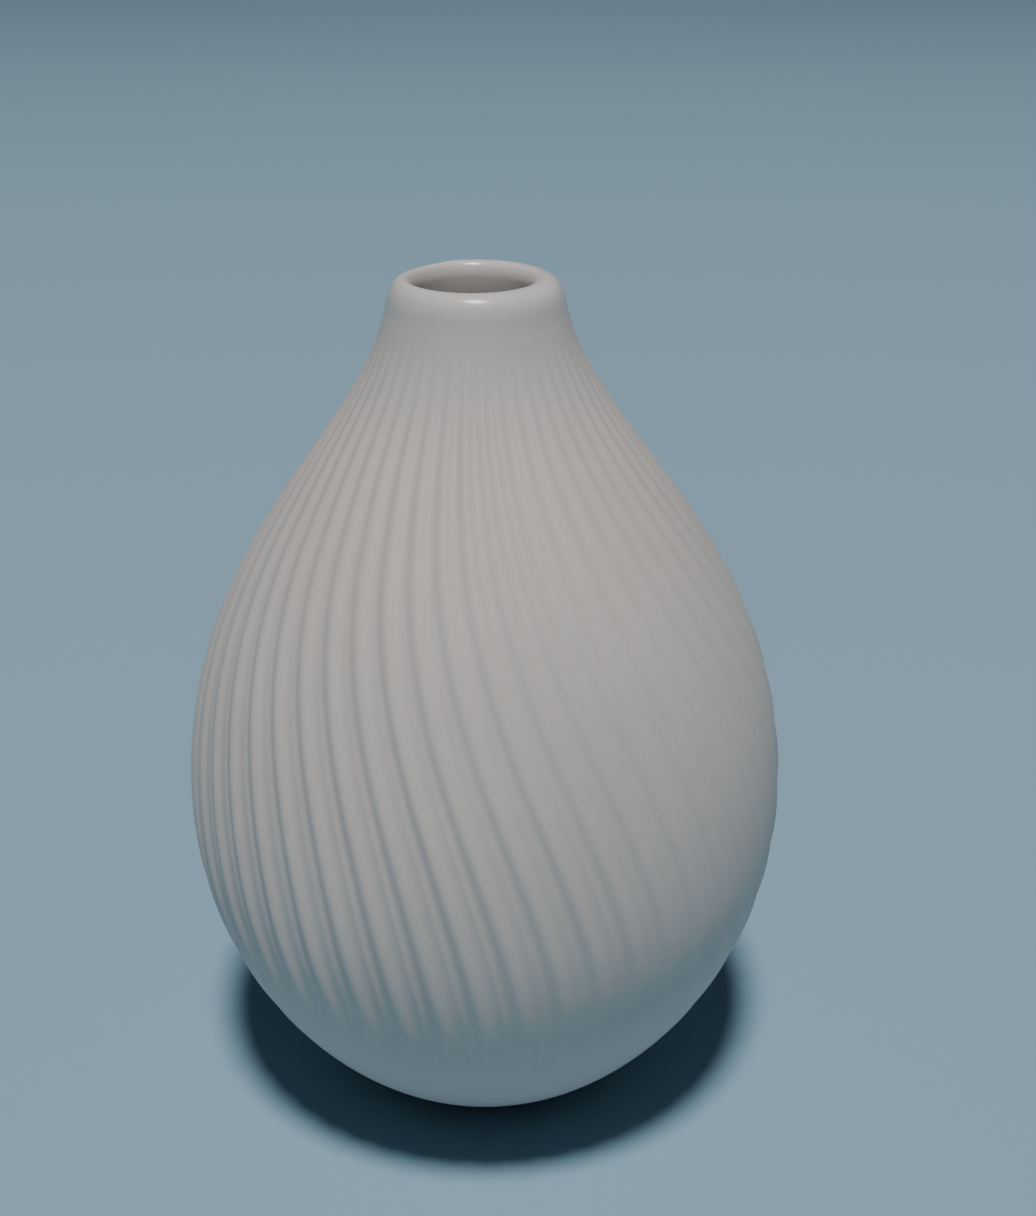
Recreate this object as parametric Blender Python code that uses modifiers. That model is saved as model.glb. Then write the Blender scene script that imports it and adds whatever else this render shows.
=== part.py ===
"""A fluted ceramic bud vase, in metres, +Z up.

The origin is on the floor, under the middle of the foot. The walls are offsets of one outline:
a clay body, a matt glaze on the outside, a gloss glaze on the inside and over the lip, and a
disc of felt in the recess of the foot.
"""
import bmesh
import bpy
from math import atan2, cos, hypot, pi, radians, sin

# Outline of the glazed vase, as radii and heights
BELLY_RADIUS = 0.0527
BELLY_HEIGHT = 0.0580
LIP_RADIUS = 0.01415
RIM_RADIUS = 0.0021
HEIGHT = 0.1500
FOOT_RADIUS = 0.0225
FOOT_TOP = 0.0024

# Handles of the outline's curves: they set how fast it swells and narrows
FOOT_HANDLE = (0.0285, 0.0042)
BELLY_HANDLE_LOW = 0.0246
BELLY_HANDLE_HIGH = 0.1050
NECK_HANDLE = (0.0169, 0.1242)
FLOOR_HANDLE = 0.0270
BOWL_HANDLE = 0.0265

# Wall, from the outside in
WALL = 2 * RIM_RADIUS
GLAZE = 0.0005
GAP = 0.0003
CLAY_DEPTH = GLAZE + GAP

# Inside floor, foot ring and felt
FLOOR_TOP = 0.0068
FLOOR_RADIUS = 0.0180
RECESS_RADIUS = 0.0180
RECESS_TOP = 0.0018
RING_BOTTOM = 0.0006
FOOT_CHAMFER = 0.0004
FELT_RADIUS = 0.0176
FELT_HEIGHT = 0.0015

# Where each glaze ends, as a share of the curve that it lies on
FOOT_GLAZE_START = 0.10
NECK_GLAZE_END = 0.945
LIP_GLAZE_START = 0.951

# Flutes round the vase: their count and depth, the heights where they fade, and their twist
FLUTES = 48
FLUTE_DEPTH = 0.0006
FLUTE_START = (0.024, 0.040)
FLUTE_END = (0.116, 0.140)
FIRST_GROOVE = radians(-101.5)
TWIST = radians(-27.6)
TWIST_SPAN = (0.031, 0.133)

# The neck stands a little off the axis
LEAN = -0.00084
LEAN_SPAN = (0.070, 0.150)

# Facets: columns round the axis, and rows along each curve
COLUMNS = 2 * FLUTES
LINER_COLUMNS = 48
LOWER_ROWS = 5
UPPER_ROWS = 6
RIM_ROWS = 4

MATERIALS = {
    "clay_body": ((0.62, 0.58, 0.53), 0.85),
    "outer_glaze": ((0.72, 0.70, 0.68), 0.50),
    "inner_glaze": ((0.74, 0.72, 0.70), 0.15),
    "base_felt": ((0.16, 0.16, 0.17), 0.95),
}


def smoothstep(value, span):
    share = min(max((value - span[0]) / (span[1] - span[0]), 0.0), 1.0)
    return share * share * (3 - 2 * share)


def bezier(control, share):
    """Point and outward normal of a cubic curve that is drawn upwards."""
    p0, p1, p2, p3 = control
    rest = 1 - share
    weights = (rest ** 3, 3 * rest ** 2 * share, 3 * rest * share ** 2, share ** 3)
    slopes = (rest ** 2, 2 * rest * share, share ** 2)
    point = [sum(w * p[i] for w, p in zip(weights, control)) for i in (0, 1)]
    steps = ((p0, p1), (p1, p2), (p2, p3))
    tangent = [sum(s * (b[i] - a[i]) for s, (a, b) in zip(slopes, steps)) for i in (0, 1)]
    length = hypot(*tangent)
    return point, (tangent[1] / length, -tangent[0] / length)


def curve(control, shares, inset=0.0):
    """Points at these shares of a curve, moved inset metres towards its inner side."""
    points = []
    for share in shares:
        (radius, height), normal = bezier(control, share)
        points.append((radius - inset * normal[0], height - inset * normal[1]))
    return points


def spread(start, end, rows):
    return [start + (end - start) * row / rows for row in range(rows + 1)]


LOWER = (
    (FOOT_RADIUS, FOOT_TOP),
    FOOT_HANDLE,
    (BELLY_RADIUS, BELLY_HANDLE_LOW),
    (BELLY_RADIUS, BELLY_HEIGHT),
)
UPPER = (
    (BELLY_RADIUS, BELLY_HEIGHT),
    (BELLY_RADIUS, BELLY_HANDLE_HIGH),
    NECK_HANDLE,
    (LIP_RADIUS, HEIGHT - RIM_RADIUS),
)
BOWL = (
    (FLOOR_RADIUS, FLOOR_TOP),
    (FLOOR_HANDLE, FLOOR_TOP),
    (BELLY_RADIUS - WALL, BOWL_HANDLE),
    (BELLY_RADIUS - WALL, BELLY_HEIGHT),
)

# Rows up each curve, with a row at the edge of each glaze
LOWER_SHARES = [0.0] + spread(FOOT_GLAZE_START, 1.0, LOWER_ROWS)
UPPER_SHARES = spread(0.0, NECK_GLAZE_END, UPPER_ROWS) + [LIP_GLAZE_START, 1.0]


def rim(radius):
    """Half round of the lip, from its inner side over to its outer side."""
    centre = LIP_RADIUS - RIM_RADIUS
    turns = [pi * (1 - step / RIM_ROWS) for step in range(1, RIM_ROWS)]
    return [(centre + radius * cos(turn), HEIGHT - RIM_RADIUS + radius * sin(turn)) for turn in turns]


def inside(depth):
    """Inner outline from the axis up to the lip, depth metres under the inner surface."""
    floor = [(0.0, FLOOR_TOP - depth)]
    bowl = curve(BOWL, LOWER_SHARES, inset=-depth)
    neck = curve(UPPER, UPPER_SHARES, inset=WALL - depth)
    return floor + bowl + neck[1:]


def clay_outline():
    """Axis, inner wall, lip, outer wall, foot ring, recess and back to the axis."""
    outer_wall = curve(LOWER, LOWER_SHARES, inset=CLAY_DEPTH)
    outer_wall += curve(UPPER, UPPER_SHARES, inset=CLAY_DEPTH)[1:]
    foot = [
        (FOOT_RADIUS, RING_BOTTOM + FOOT_CHAMFER),
        (FOOT_RADIUS - FOOT_CHAMFER, RING_BOTTOM),
        (RECESS_RADIUS, RING_BOTTOM),
        (RECESS_RADIUS, RECESS_TOP),
        (0.0, RECESS_TOP),
    ]
    return inside(CLAY_DEPTH) + rim(RIM_RADIUS - CLAY_DEPTH) + outer_wall[::-1] + foot


def outer_glaze_outline():
    """A closed loop: down the outer face, then up the face that lies on the clay."""
    faces = []
    for inset in (0.0, GLAZE):
        face = curve(LOWER, LOWER_SHARES[1:], inset)
        face += curve(UPPER, UPPER_SHARES[1:-2], inset)
        faces.append(face)
    return faces[0][::-1] + faces[1]


def inner_glaze_outline():
    """Up the inner surface, over the lip, under its edge and back down against the clay."""
    shown = inside(0.0) + rim(RIM_RADIUS) + curve(UPPER, UPPER_SHARES[-2:])[::-1]
    hidden = curve(UPPER, UPPER_SHARES[-2:], inset=GLAZE)
    hidden += rim(RIM_RADIUS - GLAZE)[::-1] + inside(GLAZE)[::-1]
    return shown + hidden


def turn_on_wheel(name, outline, columns, closed=False):
    """Spin an outline round +Z and return the mesh."""
    count = len(outline)
    edges = [(i, i + 1) for i in range(count - 1)]
    if closed:
        edges.append((count - 1, 0))
    profile = bpy.data.meshes.new(name + "_profile")
    profile.from_pydata([(radius, 0.0, height) for radius, height in outline], edges, [])
    wheel = bpy.data.objects.new(name + "_wheel", profile)
    bpy.context.scene.collection.objects.link(wheel)
    screw = wheel.modifiers.new("Turned", "SCREW")
    screw.axis = "Z"
    screw.steps = columns
    screw.render_steps = columns
    screw.use_merge_vertices = True
    screw.merge_threshold = 0.00001
    graph = bpy.context.evaluated_depsgraph_get()
    turned = bpy.data.meshes.new_from_object(wheel.evaluated_get(graph))
    bpy.data.objects.remove(wheel)
    bpy.data.meshes.remove(profile)
    turned.name = name
    return turned


def mid_wall(height):
    """Radius halfway through the wall, which parts the fluted side from the round side."""
    shares = spread(0.0, 1.0, 24)
    walls = curve(LOWER, shares, WALL / 2) + curve(UPPER, shares, WALL / 2)[1:]
    for (r0, z0), (r1, z1) in zip(walls, walls[1:]):
        if z0 <= height <= z1:
            return r0 + (r1 - r0) * (height - z0) / (z1 - z0)
    return 0.0


def press_flutes(mesh):
    """Sink the grooves into the outer side, twist every ring with them, and lean the neck."""
    shape = bmesh.new()
    shape.from_mesh(mesh)
    for corner in shape.verts:
        x, y, height = corner.co
        radius = hypot(x, y)
        angle = atan2(y, x)
        strength = smoothstep(height, FLUTE_START) * (1 - smoothstep(height, FLUTE_END))
        if strength > 0 and radius > mid_wall(height):
            radius -= FLUTE_DEPTH * strength * (1 + cos(FLUTES * angle)) / 2
        angle += FIRST_GROOVE + TWIST * smoothstep(height, TWIST_SPAN)
        shift = LEAN * smoothstep(height, LEAN_SPAN)
        corner.co = (radius * cos(angle) + shift, radius * sin(angle), height)
    bmesh.ops.triangulate(shape, faces=shape.faces, quad_method="SHORT_EDGE")
    shape.to_mesh(mesh)
    shape.free()


def finish(name, mesh, collection):
    """Put a mesh in the collection as a smooth-shaded part with its own material."""
    colour, roughness = MATERIALS[name]
    material = bpy.data.materials.new(name)
    material.use_nodes = True
    shader = material.node_tree.nodes["Principled BSDF"]
    shader.inputs["Base Color"].default_value = (*colour, 1.0)
    shader.inputs["Roughness"].default_value = roughness
    shader.inputs["Metallic"].default_value = 0.0
    mesh.materials.clear()
    mesh.materials.append(material)
    mesh.shade_smooth()
    mesh.set_sharp_from_angle(angle=radians(40))
    part = bpy.data.objects.new(name, mesh)
    collection.objects.link(part)
    return part


def make_clay_body(collection):
    mesh = turn_on_wheel("clay_body", clay_outline(), COLUMNS)
    press_flutes(mesh)
    finish("clay_body", mesh, collection)


def make_outer_glaze(collection):
    mesh = turn_on_wheel("outer_glaze", outer_glaze_outline(), COLUMNS, closed=True)
    press_flutes(mesh)
    finish("outer_glaze", mesh, collection)


def make_inner_glaze(collection):
    mesh = turn_on_wheel("inner_glaze", inner_glaze_outline(), LINER_COLUMNS)
    press_flutes(mesh)
    finish("inner_glaze", mesh, collection)


def make_base_felt(collection):
    bpy.ops.mesh.primitive_cylinder_add(vertices=48, radius=FELT_RADIUS, depth=FELT_HEIGHT)
    disc = bpy.context.object
    disc.data.transform(disc.matrix_world)
    mesh = disc.data.copy()
    bpy.data.objects.remove(disc)
    felt = finish("base_felt", mesh, collection)
    felt.location.z = FELT_HEIGHT / 2


for old in list(bpy.data.objects):
    bpy.data.objects.remove(old)

vase = bpy.data.collections.new("bud_vase")
bpy.context.scene.collection.children.link(vase)
make_clay_body(vase)
make_outer_glaze(vase)
make_inner_glaze(vase)
make_base_felt(vase)
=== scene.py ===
from math import cos, pi, radians, sin
from random import Random

import bpy
import numpy as np
from mathutils import Matrix, Vector


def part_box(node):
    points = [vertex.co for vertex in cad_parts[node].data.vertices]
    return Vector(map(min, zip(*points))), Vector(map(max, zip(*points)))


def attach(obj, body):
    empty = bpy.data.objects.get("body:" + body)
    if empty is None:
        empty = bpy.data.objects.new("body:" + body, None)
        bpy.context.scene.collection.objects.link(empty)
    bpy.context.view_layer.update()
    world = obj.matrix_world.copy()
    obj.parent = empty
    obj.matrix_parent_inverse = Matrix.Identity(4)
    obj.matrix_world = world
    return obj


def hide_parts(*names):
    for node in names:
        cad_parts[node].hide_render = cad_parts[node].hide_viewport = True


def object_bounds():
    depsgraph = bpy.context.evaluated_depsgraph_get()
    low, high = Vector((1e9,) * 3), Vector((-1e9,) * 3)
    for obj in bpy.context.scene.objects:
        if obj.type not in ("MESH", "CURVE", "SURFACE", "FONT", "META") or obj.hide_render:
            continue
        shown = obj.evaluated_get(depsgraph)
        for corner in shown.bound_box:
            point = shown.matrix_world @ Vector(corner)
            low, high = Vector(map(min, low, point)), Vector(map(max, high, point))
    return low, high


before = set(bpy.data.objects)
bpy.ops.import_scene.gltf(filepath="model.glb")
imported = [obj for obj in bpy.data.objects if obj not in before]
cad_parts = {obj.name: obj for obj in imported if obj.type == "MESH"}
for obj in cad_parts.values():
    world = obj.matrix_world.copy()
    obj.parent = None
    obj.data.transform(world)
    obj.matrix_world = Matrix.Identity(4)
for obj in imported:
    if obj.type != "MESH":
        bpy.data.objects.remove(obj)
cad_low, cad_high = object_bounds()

# ---------------------------------------------------------------------------------------------
# Clay wall. The pot is slip-cast in one piece: a thin wall with the flutes of the mould on its
# outside, a rounded lip, a flat floor and a low foot ring. Only the foot ring and the recess
# inside it are left bare; the glazes cover the rest.
# ---------------------------------------------------------------------------------------------
belly_radius = min(-cad_low.x, cad_high.x, -cad_low.y, cad_high.y)
belly_height = 0.0580
pot_height = cad_high.z
lip_radius = 0.01415
wall_thickness = 0.0042
lip_height = pot_height - wall_thickness / 2
glaze_thickness = 0.0004
foot_radius = 0.0225
foot_top = 0.0024
floor_radius = 0.0180
floor_top = 0.0068

# Handles of the outline's curves: they set how fast it swells and narrows.
foot_handle = (0.0285, 0.0042)
belly_handle_low = 0.0246
belly_handle_high = 0.1050
neck_handle = (0.0169, 0.1242)
floor_handle = 0.0270
bowl_handle = 0.0265

lower_curve = ((foot_radius, foot_top), foot_handle,
               (belly_radius, belly_handle_low), (belly_radius, belly_height))
upper_curve = ((belly_radius, belly_height), (belly_radius, belly_handle_high),
               neck_handle, (lip_radius, lip_height))
bowl_curve = ((floor_radius, floor_top), (floor_handle, floor_top),
              (belly_radius - wall_thickness, bowl_handle), (belly_radius - wall_thickness, belly_height))


def along(curve, shares, inset=0.0):
    """Radius and height at shares of a cubic curve, moved inset metres into the wall."""
    share = np.asarray(shares, float)[:, None]
    p0, p1, p2, p3 = (np.array(p) for p in curve)
    rest = 1 - share
    point = rest ** 3 * p0 + 3 * rest ** 2 * share * p1 + 3 * rest * share ** 2 * p2 + share ** 3 * p3
    run = rest ** 2 * (p1 - p0) + 2 * rest * share * (p2 - p1) + share ** 2 * (p3 - p2)
    run /= np.linalg.norm(run, axis=1)[:, None]
    return point - np.reshape(inset, (-1, 1)) * np.column_stack([run[:, 1], -run[:, 0]])


# The lip: one soft curve up the outside to the crown, and one down to the wall of the mouth.
lip_share = 0.975
lip_bow = 0.56
crown_radius = lip_radius - 0.0027
crown = np.array([crown_radius, pot_height])
lip_foot_outside, just_under = along(upper_curve, [lip_share, lip_share - 0.001])
lip_foot_inside = along(upper_curve, [1.0], wall_thickness)[0]
lip_rise = (lip_foot_outside - just_under) / np.linalg.norm(lip_foot_outside - just_under)
lip_outside = (
    lip_foot_outside,
    lip_foot_outside + lip_rise * lip_bow * (pot_height - lip_foot_outside[1]),
    crown + [lip_bow * (lip_foot_outside[0] - crown_radius), 0.0],
    crown,
)
lip_inside = (
    crown,
    crown - [lip_bow * (crown_radius - lip_foot_inside[0]), 0.0],
    lip_foot_inside + [0.0, lip_bow * (pot_height - lip_foot_inside[1])],
    lip_foot_inside,
)


def over_the_lip(inset, rows):
    """The round of the lip from the inside to the outside, inset metres into the wall."""
    shares = np.linspace(0, 1, rows)
    return np.vstack([along(lip_outside, shares, inset)[1:], along(lip_inside, shares, inset)[1:-1]])[::-1]


def ease(value, start, end):
    """0 up to start, 1 from end on, and a smooth step between them."""
    share = np.clip((value - start) / (end - start), 0.0, 1.0)
    return share * share * (3 - 2 * share)


def hump(distance, half_width):
    """Round bump, 1 in the middle and 0 from half_width on."""
    return 0.5 + 0.5 * np.cos(pi * np.clip(distance / half_width, 0.0, 1.0))


def turn_between(angle, side):
    """How far round the pot an angle is from a side, whichever way is shorter."""
    return np.abs((angle - side + pi) % (2 * pi) - pi)


# Under the mouth the wall is thicker, so that the way in is straight before it opens out.
neck_swell = 0.0009
swell_span = (0.100, 0.132)


def neck_thickness(shares):
    outside = along(upper_curve, shares)
    swell = 1 - np.exp((lip_radius - outside[:, 0]) / neck_swell)
    return wall_thickness + neck_swell * swell * ease(outside[:, 1], *swell_span)


# The ribs. Round main ribs stand on the wall with flat hollows between them, and a fine rib runs
# along each hollow low on the belly. They bend round the belly and die out at neck and foot.
rib_count = 48
rib_pitch = 2 * pi / rib_count
rib_height = 0.00080
rib_half_width = 0.0023
rib_start = (0.018, 0.040)
rib_end = (0.126, 0.145)
first_rib = radians(-97.8)
twist_angle = radians(-27.6)
twist_span = (0.031, 0.133)
fine_rib_place = 0.53
fine_rib_half_width = 0.11
fine_rib_end = (0.068, 0.092)
hand = Random(5)
rib_shift = np.array([hand.uniform(-0.03, 0.03) for _ in range(rib_count)])
rib_strength = np.array([hand.uniform(0.84, 1.0) for _ in range(rib_count)])
fine_strength = np.array([hand.uniform(0.07, 0.17) for _ in range(rib_count)])


def rib_places(columns_each):
    """Angle, place across the pitch and rib number for each column of the wall."""
    across = np.tile(np.arange(columns_each) / columns_each, rib_count)
    number = np.repeat(np.arange(rib_count), columns_each)
    left = rib_shift[number]
    right = rib_shift[(number + 1) % rib_count]
    angle = (number + left + across * (1 + right - left)) * rib_pitch
    return angle, across, number


def rib_relief(radius, height, across, number):
    """How far the surface stands out of the hollows, as a share of the rib height."""
    half_width = np.minimum(rib_half_width / (radius * rib_pitch), 0.5)
    relief = rib_strength[number] * hump(across, half_width)
    relief += rib_strength[(number + 1) % rib_count] * hump(1 - across, half_width)
    fine = fine_strength[number] * hump(np.abs(across - fine_rib_place), fine_rib_half_width)
    relief += fine * (1 - ease(height, *fine_rib_end))
    return relief


# The mould is carved deepest on its front and is shallower round the rest.
bold_side = radians(-108)
bold_reach = radians(76)
shallowest = 0.54
narrow_softening = 0.25


def rib_depth(radius, height, angle):
    """Height of the main ribs above the hollows at a place on the wall."""
    boldness = shallowest + (1 - shallowest) * hump(turn_between(angle, bold_side), bold_reach)
    fade = ease(height, *rib_start) * (1 - ease(height, *rib_end))
    return rib_height * boldness * (radius / belly_radius) ** narrow_softening * fade


# The ribs of the mould were cut by eye: on one side they wander off the even twist.
wander_side = radians(-125)
wander_reach = radians(65)
wander_angle = radians(3.2)
wander_height = 0.083
wander_rise = 0.043
back_angle = radians(-2.6)
back_span = (0.114, 0.132)


def wander(angle, height):
    way = wander_angle * hump(np.abs(height - wander_height), wander_rise)
    way += back_angle * ease(height, *back_span)
    return way * hump(turn_between(angle, wander_side), wander_reach)


# The neck stands a little to one side of the axis.
lean_shift = -0.00084
lean_span = (0.070, 0.150)

# The lip sagged a little on one side while the pot was damp. The flat starts at a corner, is
# deepest a third of the way along and fades into the round of the lip.
flat_start = radians(110)
flat_reach = radians(74)
flat_peak = 27 / 4
flat_span = (0.136, 0.149)
flat_drop = 0.00042
flat_dent = 0.00090


def sag(angle, height):
    """Share of the flat on the lip at an angle round the pot."""
    share = np.clip((angle - flat_start) % (2 * pi) / flat_reach, 0.0, 1.0)
    return flat_peak * share * (1 - share) ** 2 * ease(height, *flat_span)


# The hole of the mouth is a little to one side, so the lip is wider on the other.
hole_shift = -0.0006
hole_narrowing = 0.0003
hole_span = (0.112, 0.140)


def hole_share(radius, height):
    """1 on the inner side of the mouth, 0 on the outer side and deeper inside."""
    return (1 - ease(radius, lip_radius - wall_thickness, lip_radius)) * ease(height, *hole_span)


crease_angle = radians(40)


def turned(name, outline, angles, closed=False, sink=None):
    """A mesh of rings, one for each outline point, with poles where the outline meets the axis."""
    outline = np.asarray(outline)
    columns = len(angles)
    radius = np.repeat(outline[:, :1], columns, axis=1)
    height = np.repeat(outline[:, 1:], columns, axis=1)
    start = angles[None, :] + first_rib
    turn = start + twist_angle * ease(height, *twist_span) + wander(start, height)
    if sink is not None:
        radius = radius - sink(radius, height, turn)
    hole = hole_share(radius, height)
    flat = sag(turn, height) * (1 - hole)
    radius = radius - flat * flat_dent - hole * hole_narrowing
    aside = lean_shift * ease(height, *lean_span) + hole * hole_shift
    place = np.stack([radius * np.cos(turn) + aside, radius * np.sin(turn), height - flat * flat_drop], -1)

    pole_first = outline[0, 0] < 1e-9
    pole_last = outline[-1, 0] < 1e-9
    first = 1 if pole_first else 0
    last = len(outline) - 1 if pole_last else len(outline)
    ring_count = last - first
    points = place[first:last].reshape(-1, 3).tolist()
    faces = []
    for ring in range(ring_count if closed else ring_count - 1):
        low = ring * columns
        high = ((ring + 1) % ring_count) * columns
        for column in range(columns):
            after = (column + 1) % columns
            faces.append((low + column, high + column, high + after, low + after))
    if pole_first:
        pole = len(points)
        points.append(place[0, 0].tolist())
        faces += [(pole, column, (column + 1) % columns) for column in range(columns)]
    if pole_last:
        pole = len(points)
        points.append(place[-1, 0].tolist())
        low = (ring_count - 1) * columns
        faces += [(pole, low + (column + 1) % columns, low + column) for column in range(columns)]

    mesh = bpy.data.meshes.new(name)
    mesh.from_pydata(points, [], faces)
    mesh.validate()
    mesh.shade_smooth()
    mesh.set_sharp_from_angle(angle=crease_angle)
    piece = bpy.data.objects.new(name, mesh)
    bpy.context.scene.collection.objects.link(piece)
    return piece


def round_edge(middle, size, start, end, steps):
    """Arc round a middle point, between two angles in degrees from straight outwards."""
    turn = np.radians(np.linspace(start, end, steps))
    return np.column_stack([middle[0] + size * np.cos(turn), middle[1] + size * np.sin(turn)])


# Foot ring with round edges, and the shallow recess inside it.
ring_bottom = 0.0006
ring_round = 0.0007
recess_radius = 0.0180
recess_top = 0.0018
recess_bevel = 0.0003
ring_outer = round_edge((foot_radius - ring_round, ring_bottom + ring_round), ring_round, 0, -90, 5)
ring_inner = round_edge((recess_radius + ring_round, ring_bottom + ring_round), ring_round, -90, -180, 5)
recess = [[recess_radius, recess_top - recess_bevel], [recess_radius - recess_bevel, recess_top],
          [recess_radius / 2, recess_top], [0.0, recess_top]]

# The clay stays clear of the glaze that lies on it, and of the deepest hollows.
clay_inset = glaze_thickness + 0.00010
under_ribs = clay_inset + rib_height + 0.00025
ribs_from = 0.16
foot_to = 0.12
bowl_shares = np.linspace(0, 1, 14)
neck_shares = np.linspace(0, 1, 20)[1:]
clay_outline = np.vstack([
    [[0.0, floor_top - clay_inset]],
    along(bowl_curve, bowl_shares, -clay_inset),
    along(upper_curve, neck_shares, neck_thickness(neck_shares) - clay_inset),
    over_the_lip(clay_inset, 6),
    along(upper_curve, np.linspace(lip_share, 0, 24), under_ribs),
    along(lower_curve, np.linspace(1, ribs_from, 18)[1:], under_ribs),
    along(lower_curve, np.linspace(foot_to, 0, 6), clay_inset),
    ring_outer,
    ring_inner,
    recess,
])
wheel_columns = 192
wheel_angles = np.arange(wheel_columns) * 2 * pi / wheel_columns
clay = turned("clay_wall", clay_outline, wheel_angles)
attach(clay, "root")
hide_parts("clay_body")


def new_material(name):
    """A Principled material; returns it with its node tree and shader."""
    material = bpy.data.materials.new(name)
    material.use_nodes = True
    return material, material.node_tree, material.node_tree.nodes["Principled BSDF"]


def new_group(name, inputs, outputs):
    """A node group with named inputs and outputs; returns it with its two end nodes."""
    kinds = {"colour": "NodeSocketColor", "value": "NodeSocketFloat"}
    group = bpy.data.node_groups.new(name, "ShaderNodeTree")
    for label, kind, default in inputs:
        socket = group.interface.new_socket(label, in_out="INPUT", socket_type=kinds[kind])
        socket.default_value = default
    for label, kind in outputs:
        group.interface.new_socket(label, in_out="OUTPUT", socket_type=kinds[kind])
    return group, group.nodes.new("NodeGroupInput"), group.nodes.new("NodeGroupOutput")


def place_group(tree, group, **values):
    """Put a group in a material, with its own value for each named input."""
    node = tree.nodes.new("ShaderNodeGroup")
    node.node_tree = group
    for label, amount in values.items():
        node.inputs[label.replace("_", " ")].default_value = amount
    return node


def feed(tree, socket, amount):
    """Set an input to a plain value, or link it to the output that gives its value."""
    if isinstance(amount, bpy.types.NodeSocket):
        tree.links.new(amount, socket)
    else:
        socket.default_value = amount


def noise(tree, scale, detail, roughness=0.5):
    """Noise on the object's own metres, so its scale is in patches per metre."""
    where = tree.nodes.new("ShaderNodeTexCoord")
    texture = tree.nodes.new("ShaderNodeTexNoise")
    texture.inputs["Detail"].default_value = detail
    texture.inputs["Roughness"].default_value = roughness
    tree.links.new(where.outputs["Object"], texture.inputs["Vector"])
    feed(tree, texture.inputs["Scale"], scale)
    return texture.outputs["Fac"]


def spread_between(tree, value, low, high, to_low=0.0, to_high=1.0):
    """Maps a value from low..high to to_low..to_high."""
    ramp = tree.nodes.new("ShaderNodeMapRange")
    for label, amount in (("From Min", low), ("From Max", high), ("To Min", to_low), ("To Max", to_high)):
        feed(tree, ramp.inputs[label], amount)
    tree.links.new(value, ramp.inputs["Value"])
    return ramp.outputs["Result"]


def mixed(tree, share, first, second, kind="FLOAT"):
    """The first value where share is 0, the second where it is 1; kind is FLOAT or RGBA."""
    first_socket, second_socket, result = {"FLOAT": (2, 3, 0), "RGBA": (6, 7, 2)}[kind]
    blend = tree.nodes.new("ShaderNodeMix")
    blend.data_type = kind
    feed(tree, blend.inputs[0], share)
    feed(tree, blend.inputs[first_socket], first)
    feed(tree, blend.inputs[second_socket], second)
    return blend.outputs[result]


# Fired surface: broad clouds and fine specks of colour, as fired clay and glaze have.
cloud_range = (0.35, 0.65)
speck_range = (0.70, 0.78)
fired_colour, given, made = new_group(
    "fired_colour",
    [("Light", "colour", (0.7, 0.7, 0.7, 1)), ("Dark", "colour", (0.6, 0.6, 0.6, 1)),
     ("Speck", "colour", (0.4, 0.35, 0.3, 1)), ("Cloud Scale", "value", 45.0),
     ("Speck Scale", "value", 900.0), ("Speck Amount", "value", 0.2)],
    [("Colour", "colour")],
)
clouds = spread_between(fired_colour, noise(fired_colour, given.outputs["Cloud Scale"], 3.0), *cloud_range)
body_colour = mixed(fired_colour, clouds, given.outputs["Dark"], given.outputs["Light"], "RGBA")
specks = noise(fired_colour, given.outputs["Speck Scale"], 1.0)
speck_mask = spread_between(fired_colour, specks, *speck_range, 0.0, given.outputs["Speck Amount"])
specked = mixed(fired_colour, speck_mask, body_colour, given.outputs["Speck"], "RGBA")
fired_colour.links.new(specked, made.inputs["Colour"])

# Surface skin: height of the slow ripple and of the fine grain, and a roughness that varies.
patch_range = (0.3, 0.7)
fired_skin, given, made = new_group(
    "fired_skin",
    [("Ripple Scale", "value", 220.0), ("Grain Scale", "value", 3000.0), ("Grain Share", "value", 0.4),
     ("Smoothest", "value", 0.4), ("Roughest", "value", 0.6)],
    [("Height", "value"), ("Roughness", "value")],
)
ripple = noise(fired_skin, given.outputs["Ripple Scale"], 2.0)
grain = noise(fired_skin, given.outputs["Grain Scale"], 3.0, 0.6)
skin_height = mixed(fired_skin, given.outputs["Grain Share"], ripple, grain)
fired_skin.links.new(skin_height, made.inputs["Height"])
patches = noise(fired_skin, given.outputs["Ripple Scale"], 4.0)
skin_roughness = spread_between(fired_skin, patches, *patch_range,
                                given.outputs["Smoothest"], given.outputs["Roughest"])
fired_skin.links.new(skin_roughness, made.inputs["Roughness"])


def finish_surface(tree, shader, colour, roughness, height, relief):
    """Feed a shader its colour and roughness, and a bump of relief metres."""
    tree.links.new(colour, shader.inputs["Base Color"])
    tree.links.new(roughness, shader.inputs["Roughness"])
    bump = tree.nodes.new("ShaderNodeBump")
    bump.inputs["Distance"].default_value = relief
    tree.links.new(height, bump.inputs["Height"])
    tree.links.new(bump.outputs["Normal"], shader.inputs["Normal"])


clay_relief = 0.00012
clay_finish, tree, shader = new_material("bare_fired_clay")
colour = place_group(tree, fired_colour, Light=(0.66, 0.60, 0.52, 1), Dark=(0.58, 0.52, 0.44, 1),
                     Speck=(0.30, 0.24, 0.18, 1), Cloud_Scale=120.0, Speck_Scale=1800.0, Speck_Amount=0.6)
skin = place_group(tree, fired_skin, Ripple_Scale=500.0, Grain_Scale=4500.0, Grain_Share=0.7,
                   Smoothest=0.78, Roughest=0.95)
finish_surface(tree, shader, colour.outputs["Colour"], skin.outputs["Roughness"],
               skin.outputs["Height"], clay_relief)
clay.data.materials.append(clay_finish)

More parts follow.
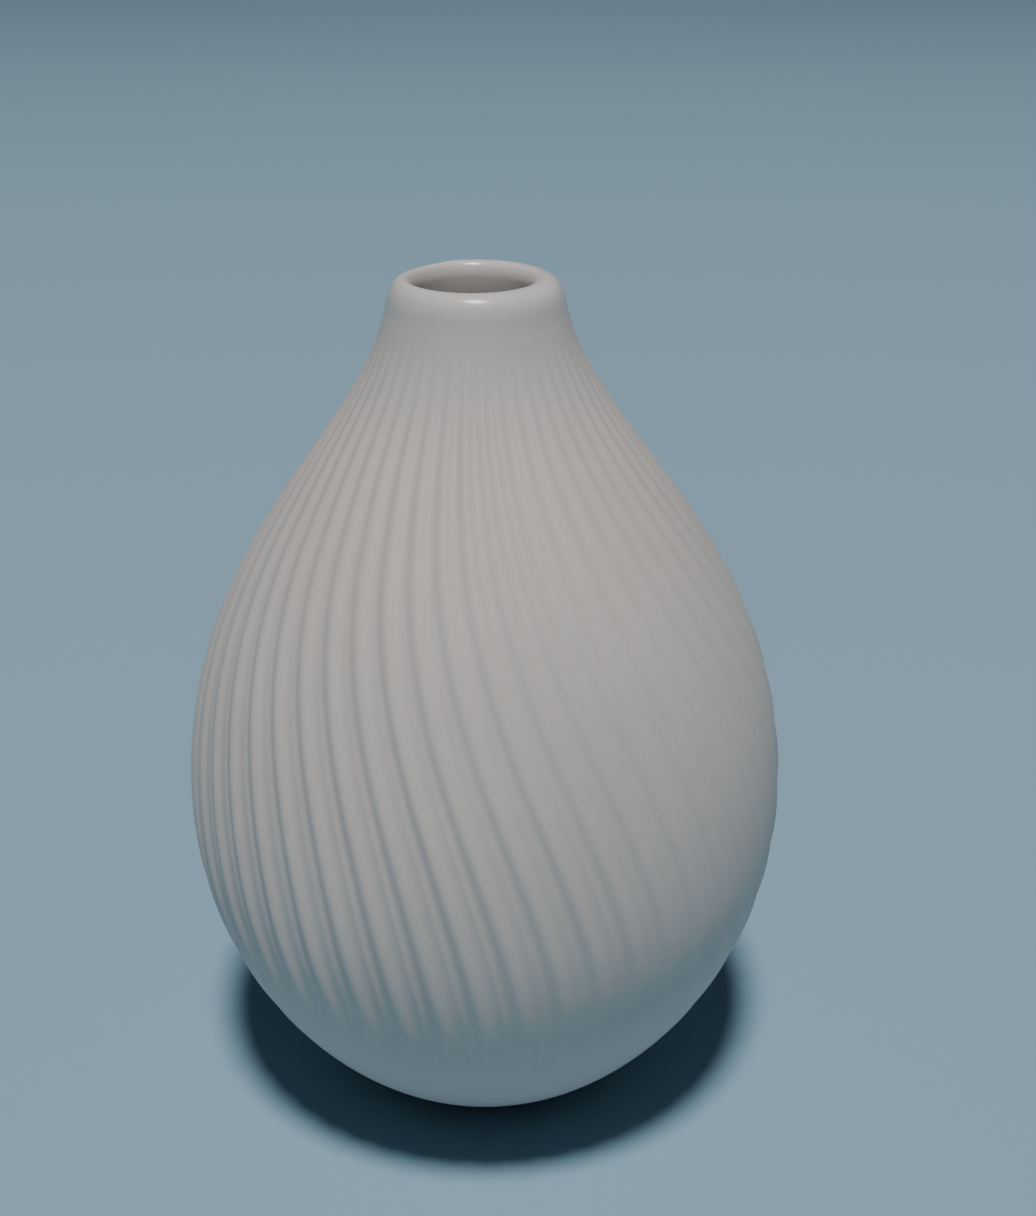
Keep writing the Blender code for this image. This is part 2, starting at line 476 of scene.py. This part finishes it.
# ---------------------------------------------------------------------------------------------
# Matt glaze coat. The outside is dipped in a matt white glaze that follows every rib. It meets the
# gloss glaze under the lip, and stops in a soft edge above the foot ring, where it was wiped off.
# ---------------------------------------------------------------------------------------------
coat_columns_each = 20
coat_start = 0.10
coat_end = 0.948
foot_rows_crowding = 1.6
coat_angles, coat_across, coat_number = rib_places(coat_columns_each)


def coat_sink(radius, height, turn):
    """How far the coat lies under the outline, which touches the tops of the ribs."""
    relief = rib_relief(radius, height, coat_across[None, :], coat_number[None, :])
    return rib_depth(radius, height, turn) * (1 - relief)


edge_middle = along(lower_curve, [coat_start], glaze_thickness / 2)[0]
edge_out = along(lower_curve, [coat_start])[0] - edge_middle
edge_down = -np.array([edge_out[1], -edge_out[0]])
edge_turn = np.linspace(0, pi, 5)[1:-1]
coat_edge = [edge_middle + edge_out * cos(turn) + edge_down * sin(turn) for turn in edge_turn]
under_foot_shares = coat_start + (1 - coat_start) * np.linspace(0, 1, 11) ** foot_rows_crowding
coat_outline = np.vstack([
    along(upper_curve, np.linspace(coat_end, 0, 46)),
    along(lower_curve, np.linspace(1, coat_start, 32)[1:]),
    coat_edge,
    along(lower_curve, under_foot_shares, glaze_thickness),
    along(upper_curve, np.linspace(0, coat_end, 11)[1:], glaze_thickness),
])
coat = turned("matt_glaze_coat", coat_outline, coat_angles, closed=True, sink=coat_sink)
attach(coat, "root")
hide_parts("outer_glaze")

# Where the two glazes meet: how much of the gloss glaze lies on the surface, by its height.
glaze_meeting, given, made = new_group(
    "glaze_meeting",
    [("Matt Below", "value", 0.143), ("Gloss Above", "value", 0.149)],
    [("Share", "value")],
)
where = glaze_meeting.nodes.new("ShaderNodeTexCoord")
parts = glaze_meeting.nodes.new("ShaderNodeSeparateXYZ")
glaze_meeting.links.new(where.outputs["Object"], parts.inputs["Vector"])
share = spread_between(glaze_meeting, parts.outputs["Z"],
                       given.outputs["Matt Below"], given.outputs["Gloss Above"])
glaze_meeting.links.new(share, made.inputs["Share"])


def meeting_under_the_lip(tree):
    return place_group(tree, glaze_meeting).outputs["Share"]


glaze_relief = 0.00005


def glaze_finish(name, share_of_gloss):
    """White glaze, matt where the share of gloss is 0 and glossy where it is 1."""
    finish, tree, shader = new_material(name)
    share = share_of_gloss(tree)
    matt = place_group(tree, fired_colour, Light=(0.662, 0.607, 0.572, 1), Dark=(0.637, 0.583, 0.548, 1),
                       Speck=(0.50, 0.46, 0.42, 1), Cloud_Scale=40.0, Speck_Scale=1400.0, Speck_Amount=0.25)
    gloss = place_group(tree, fired_colour, Light=(0.715, 0.688, 0.668, 1), Dark=(0.685, 0.657, 0.637, 1),
                        Speck=(0.50, 0.47, 0.43, 1), Cloud_Scale=60.0, Speck_Scale=1200.0, Speck_Amount=0.2)
    skin = place_group(tree, fired_skin, Ripple_Scale=260.0, Grain_Scale=3800.0, Grain_Share=0.3,
                       Smoothest=0.46, Roughest=0.60)
    sheen = place_group(tree, fired_skin, Ripple_Scale=180.0, Grain_Scale=1500.0, Grain_Share=0.15,
                        Smoothest=0.24, Roughest=0.31)
    finish_surface(
        tree, shader,
        mixed(tree, share, matt.outputs["Colour"], gloss.outputs["Colour"], "RGBA"),
        mixed(tree, share, skin.outputs["Roughness"], sheen.outputs["Roughness"]),
        mixed(tree, share, skin.outputs["Height"], sheen.outputs["Height"]),
        glaze_relief)
    return finish


coat.data.materials.append(glaze_finish("matt_white_glaze", meeting_under_the_lip))

# ---------------------------------------------------------------------------------------------
# Gloss glaze lining. Clear-white glaze poured inside and out again, so that it lines the whole
# inside and rolls over the lip, where it melts into the matt glaze under the rim.
# ---------------------------------------------------------------------------------------------
lap_start = coat_end + 0.0001
inner_shares = np.linspace(0, 1, 61)[1:]
lining_outline = np.vstack([
    [[0.0, floor_top]],
    along(bowl_curve, np.linspace(0, 1, 40)),
    along(upper_curve, inner_shares, neck_thickness(inner_shares)),
    over_the_lip(0.0, 16),
    along(upper_curve, np.linspace(lip_share, lap_start, 8)),
    along(upper_curve, np.linspace(lap_start, lip_share, 4), glaze_thickness),
    over_the_lip(glaze_thickness, 6)[::-1],
    along(upper_curve, neck_shares, neck_thickness(neck_shares) - glaze_thickness)[::-1],
    along(bowl_curve, bowl_shares, -glaze_thickness)[::-1],
    [[0.0, floor_top - glaze_thickness]],
])
lining = turned("gloss_glaze_lining", lining_outline, wheel_angles)
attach(lining, "root")
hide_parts("inner_glaze")

# On the lip the gloss is full from the crown inwards, and everywhere below the lap.
crown_blend = 0.0006
lap_bottom = (0.1430, 0.1437)


def gloss_inside(tree):
    """All gloss inside the lip, and the share of the meeting glazes outside it."""
    where = tree.nodes.new("ShaderNodeTexCoord")
    parts = tree.nodes.new("ShaderNodeSeparateXYZ")
    tree.links.new(where.outputs["Object"], parts.inputs["Vector"])
    level = tree.nodes.new("ShaderNodeCombineXYZ")
    tree.links.new(parts.outputs["X"], level.inputs["X"])
    tree.links.new(parts.outputs["Y"], level.inputs["Y"])
    radius = tree.nodes.new("ShaderNodeVectorMath")
    radius.operation = "LENGTH"
    tree.links.new(level.outputs["Vector"], radius.inputs[0])
    inside = spread_between(tree, radius.outputs["Value"],
                            crown_radius - crown_blend, crown_radius + crown_blend, 1.0, 0.0)
    below = spread_between(tree, parts.outputs["Z"], *lap_bottom, 1.0, 0.0)
    share = meeting_under_the_lip(tree)
    for other in (inside, below):
        larger = tree.nodes.new("ShaderNodeMath")
        larger.operation = "MAXIMUM"
        tree.links.new(share, larger.inputs[0])
        tree.links.new(other, larger.inputs[1])
        share = larger.outputs["Value"]
    return share


lining.data.materials.append(glaze_finish("gloss_white_glaze", gloss_inside))

# ---------------------------------------------------------------------------------------------
# Felt disc. A punched disc of pressed wool felt, glued into the recess of the foot so that the
# bare clay doesn't scratch the table.
# ---------------------------------------------------------------------------------------------
felt_low, felt_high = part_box("base_felt")
felt_radius = felt_high.x
felt_round = 0.0003
felt_rings = np.array([0.3, 0.6, 0.85]) * felt_radius
felt_side = felt_radius - felt_round
felt_outline = np.vstack([
    [[0.0, felt_high.z]],
    [[radius, felt_high.z] for radius in felt_rings],
    round_edge((felt_side, felt_high.z - felt_round), felt_round, 90, 0, 4),
    round_edge((felt_side, felt_low.z + felt_round), felt_round, 0, -90, 4),
    [[radius, felt_low.z] for radius in felt_rings[::-1]],
    [[0.0, felt_low.z]],
])
felt = turned("felt_disc", felt_outline, wheel_angles)
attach(felt, "root")
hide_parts("base_felt")

felt_relief = 0.0004
felt_finish, tree, shader = new_material("pressed_wool_felt")
shader.inputs["Sheen Weight"].default_value = 0.4
shader.inputs["Sheen Roughness"].default_value = 0.6
colour = place_group(tree, fired_colour, Light=(0.20, 0.20, 0.21, 1), Dark=(0.13, 0.13, 0.14, 1),
                     Speck=(0.34, 0.34, 0.35, 1), Cloud_Scale=900.0, Speck_Scale=2600.0, Speck_Amount=0.5)
skin = place_group(tree, fired_skin, Ripple_Scale=900.0, Grain_Scale=4000.0, Grain_Share=0.6,
                   Smoothest=0.88, Roughest=1.0)
finish_surface(tree, shader, colour.outputs["Colour"], skin.outputs["Roughness"],
               skin.outputs["Height"], felt_relief)
felt.data.materials.append(felt_finish)

# ---------------------------------------------------------------------------------------------
# Table and light: a plain pale floor, one soft lamp high in front, a weak sky, and the camera.
# ---------------------------------------------------------------------------------------------
floor_reach = 6.0
floor_mesh = bpy.data.meshes.new("pale_floor")
floor_mesh.from_pydata([(-1, -1, 0), (1, -1, 0), (1, 1, 0), (-1, 1, 0)], [], [(0, 1, 2, 3)])
floor_mesh.transform(Matrix.Scale(floor_reach, 4))
floor = bpy.data.objects.new("pale_floor", floor_mesh)
bpy.context.scene.collection.objects.link(floor)
floor_finish, tree, shader = new_material("pale_paper")
shader.inputs["Base Color"].default_value = (0.26, 0.43, 0.55, 1)
shader.inputs["Roughness"].default_value = 0.9
floor.data.materials.append(floor_finish)

lamp_place = Vector((-0.03, -1.48, 5.00))
pot_middle = Vector((0, 0, pot_height / 2))
lamp_data = bpy.data.lights.new("overhead_lamp", "AREA")
lamp_data.shape = "DISK"
lamp_data.size = 0.8
lamp_data.energy = 245.0
lamp_data.color = (1.0, 0.975, 0.955)
lamp = bpy.data.objects.new("overhead_lamp", lamp_data)
lamp.location = lamp_place
lamp.rotation_euler = (pot_middle - lamp_place).to_track_quat("-Z", "Y").to_euler()
bpy.context.scene.collection.objects.link(lamp)

world = bpy.data.worlds.new("pale_room")
world.use_nodes = True
sky = world.node_tree.nodes["Background"]
sky.inputs["Color"].default_value = (0.72, 0.84, 0.98, 1)
sky.inputs["Strength"].default_value = 0.042
bpy.context.scene.world = world

camera_down = 24.87
camera_aside = -1.29
camera_data = bpy.data.cameras.new("camera")
camera_data.sensor_width = 36.0
camera_data.lens = 48.8
camera = bpy.data.objects.new("camera", camera_data)
camera.location = (0.0, -0.260, 0.2123)
camera.rotation_euler = (radians(90 - camera_down), 0.0, radians(camera_aside))
bpy.context.scene.collection.objects.link(camera)
bpy.context.scene.camera = camera
